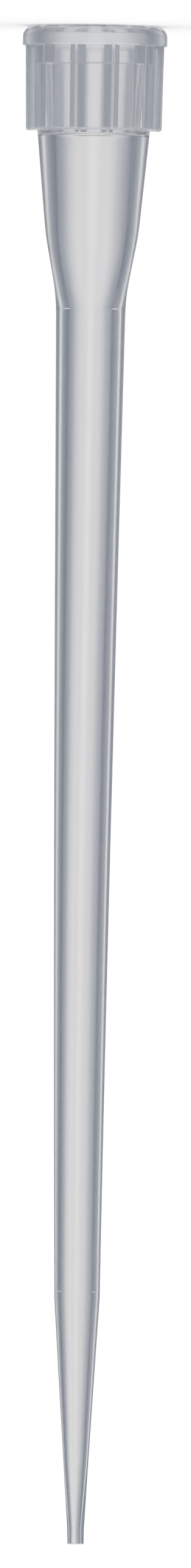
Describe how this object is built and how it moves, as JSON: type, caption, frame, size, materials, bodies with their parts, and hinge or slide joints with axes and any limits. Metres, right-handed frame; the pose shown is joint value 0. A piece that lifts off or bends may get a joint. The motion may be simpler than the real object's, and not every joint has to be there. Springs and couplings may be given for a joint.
{
  "type": "pipette tip",
  "caption": "Slim disposable pipette tip: a ribbed collar with a socket for the pipette's nozzle, a short funnel, a long tapered shaft and a fine open point.",
  "frame": {"origin": "centre of the mouth rim, on the surface that the tip stands on", "axes": "+Z along the tip's axis, from the mouth to the point; -Y looks at a flat between two ribs of the collar"},
  "size_m": [0.0044, 0.0044, 0.046],
  "materials": {
    "natural_polypropylene": "clear to slightly milky natural polypropylene, smooth as moulded"
  },
  "bodies": {
    "root": {"pipette_tip": "natural_polypropylene"}
  },
  "joints": []
}
